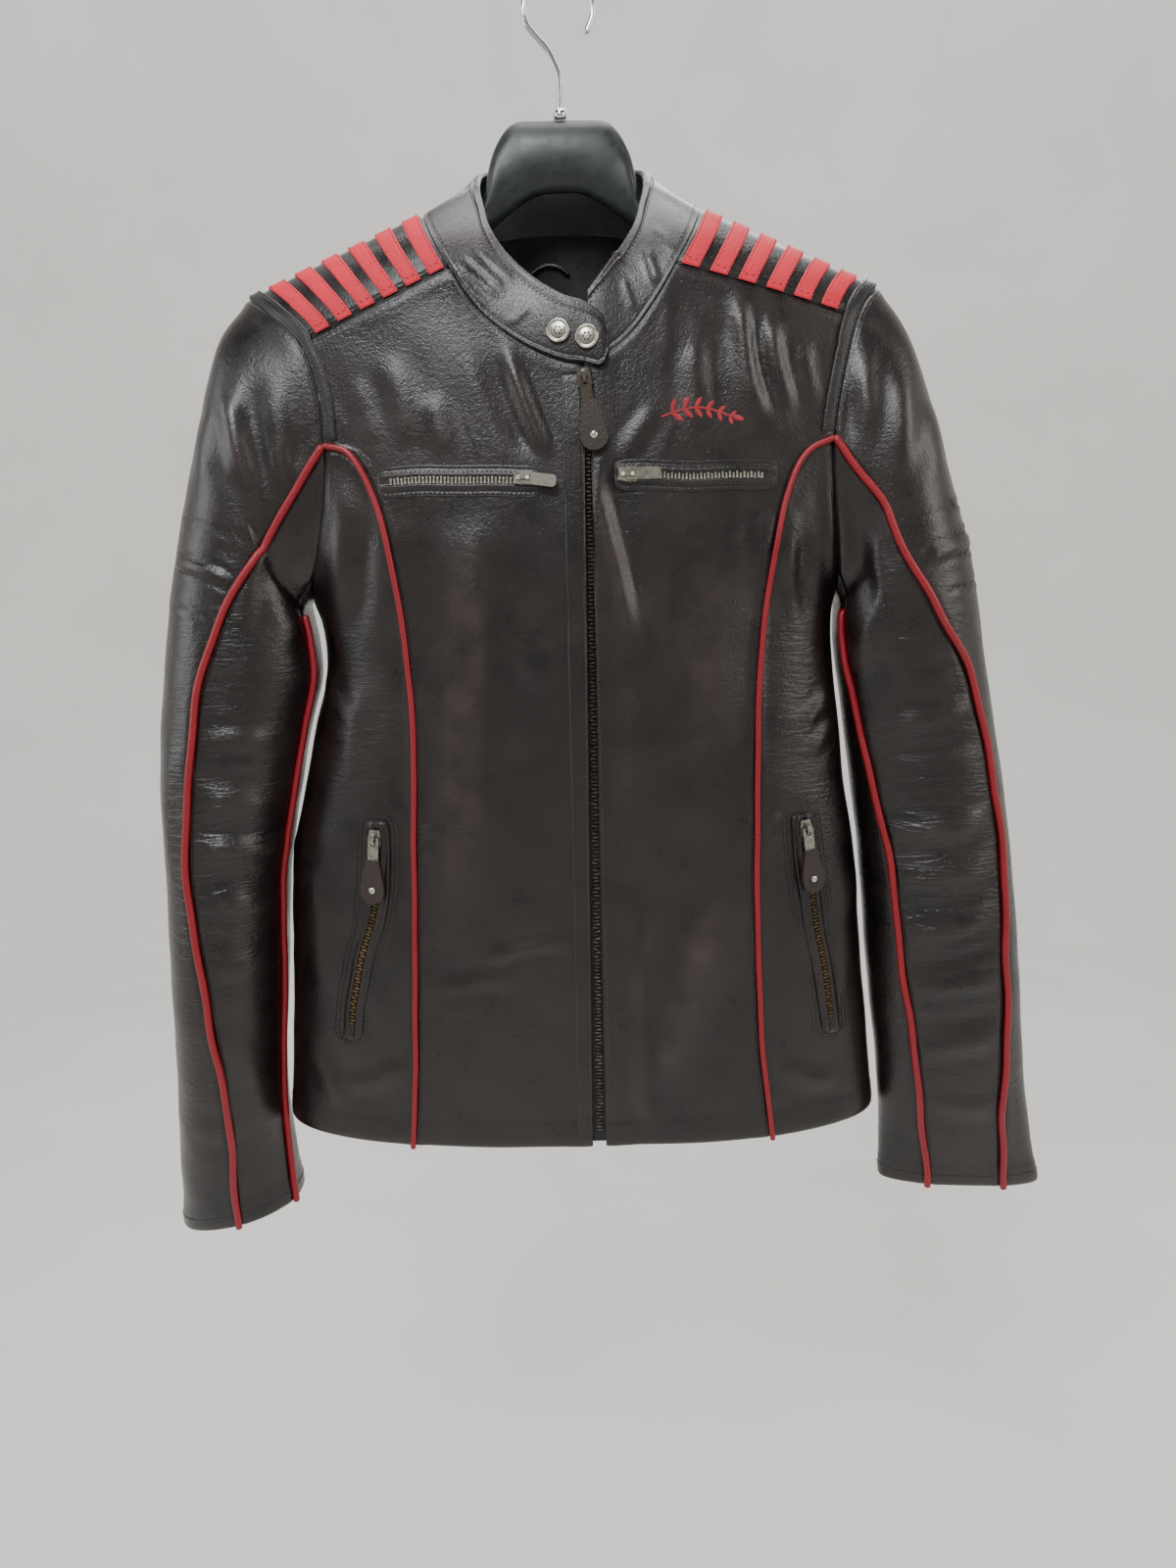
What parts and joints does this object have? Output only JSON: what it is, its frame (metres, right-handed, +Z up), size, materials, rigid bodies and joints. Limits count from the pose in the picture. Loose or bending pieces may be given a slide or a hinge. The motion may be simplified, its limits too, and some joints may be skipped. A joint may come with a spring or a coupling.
{
  "type": "leather motorcycle jacket on a hanger",
  "caption": "Collarband leather riding jacket with red piping and red shoulder bars, front, chest and hand zips and a snapped collar tab, hanging on a broad suit hanger.",
  "frame": {"origin": "the point inside the top of the hanger's hook that rests on the rail", "axes": "+Z up; +Y towards the jacket's back; +X towards the wearer's left"},
  "size_m": [0.637, 0.1313, 0.8405],
  "materials": {
    "leather": "dark brown-black cow leather, fine pebble grain, soft satin sheen",
    "red_leather": "matt red leather bars",
    "piping": "crimson leather piping, satin",
    "tab_leather": "dark leather pull tabs, edge stitched, matt",
    "facing": "dark brown lining cloth",
    "zip_tape": "black woven zip tape",
    "nickel": "antique nickel",
    "brass": "antique brass",
    "hanger_plastic": "satin black plastic",
    "chrome_wire": "polished chrome"
  },
  "bodies": {
    "jacket_on_hanger": {"front_center_right": "leather", "front_side_right": "leather", "shoulder_panel_right": "leather", "shoulder_stripe_right_1": "red_leather", "shoulder_stripe_right_2": "red_leather", "shoulder_stripe_right_3": "red_leather", "shoulder_stripe_right_4": "red_leather", "shoulder_stripe_right_5": "red_leather", "shoulder_stripe_right_6": "red_leather", "sleeve_outer_right": "leather", "sleeve_front_right": "leather", "sleeve_under_right": "leather", "armhole_band_right": "leather", "piping_front_right": "piping", "piping_sleeve_outer_right": "piping", "piping_sleeve_inner_right": "piping", "chest_zip_right": "zip_tape", "hand_zip_right": "zip_tape", "hand_slider_right": "brass", "chest_slider_right": "nickel", "front_center_left": "leather", "front_side_left": "leather", "shoulder_panel_left": "leather", "shoulder_stripe_left_1": "red_leather", "shoulder_stripe_left_2": "red_leather", "shoulder_stripe_left_3": "red_leather", "shoulder_stripe_left_4": "red_leather", "shoulder_stripe_left_5": "red_leather", "shoulder_stripe_left_6": "red_leather", "sleeve_outer_left": "leather", "sleeve_front_left": "leather", "sleeve_under_left": "leather", "armhole_band_left": "leather", "piping_front_left": "piping", "piping_sleeve_outer_left": "piping", "piping_sleeve_inner_left": "piping", "chest_zip_left": "zip_tape", "hand_zip_left": "zip_tape", "hand_slider_left": "brass", "chest_slider_left": "nickel", "back": "leather", "collar": "leather", "collar_snap_1": "nickel", "collar_snap_2": "nickel", "neck_facing": "facing", "placket_right": "leather", "front_zip": "zip_tape", "front_slider": "brass", "hanger_body": "hanger_plastic", "hanger_hook": "chrome_wire"},
    "front_zip_pull": {"front_pull": "brass", "front_tab": "tab_leather"},
    "hand_zip_pull_right": {"hand_pull_right": "brass", "hand_tab_right": "tab_leather"},
    "hand_zip_pull_left": {"hand_pull_left": "brass", "hand_tab_left": "tab_leather"},
    "chest_zip_pull_right": {"chest_pull_right": "nickel"},
    "chest_zip_pull_left": {"chest_pull_left": "nickel"}
  },
  "joints": [
    {"name": "front_zip_pull_swing", "type": "hinge", "parent": "jacket_on_hanger", "child": "front_zip_pull", "pos_m": [0.01202, -0.0614, -0.25049], "axis": [-0.9876, -0.0153, -0.1559], "range_deg": [0, 150]},
    {"name": "hand_zip_pull_right_swing", "type": "hinge", "parent": "jacket_on_hanger", "child": "hand_zip_pull_right", "pos_m": [-0.13297, -0.05769, -0.54074], "axis": [-0.9711, 0.2283, 0.0697], "range_deg": [0, 150]},
    {"name": "hand_zip_pull_left_swing", "type": "hinge", "parent": "jacket_on_hanger", "child": "hand_zip_pull_left", "pos_m": [0.15628, -0.05055, -0.54067], "axis": [-0.9264, -0.3499, -0.139], "range_deg": [0, 150]},
    {"name": "chest_zip_pull_right_swing", "type": "hinge", "parent": "jacket_on_hanger", "child": "chest_zip_pull_right", "pos_m": [-0.02708, -0.06554, -0.31064], "axis": [-0.1399, -0.0547, -0.9887], "range_deg": [0, 150]},
    {"name": "chest_zip_pull_left_swing", "type": "hinge", "parent": "jacket_on_hanger", "child": "chest_zip_pull_left", "pos_m": [0.03813, -0.06531, -0.30964], "axis": [0.036, -0.056, -0.9978], "range_deg": [0, 150]}
  ]
}
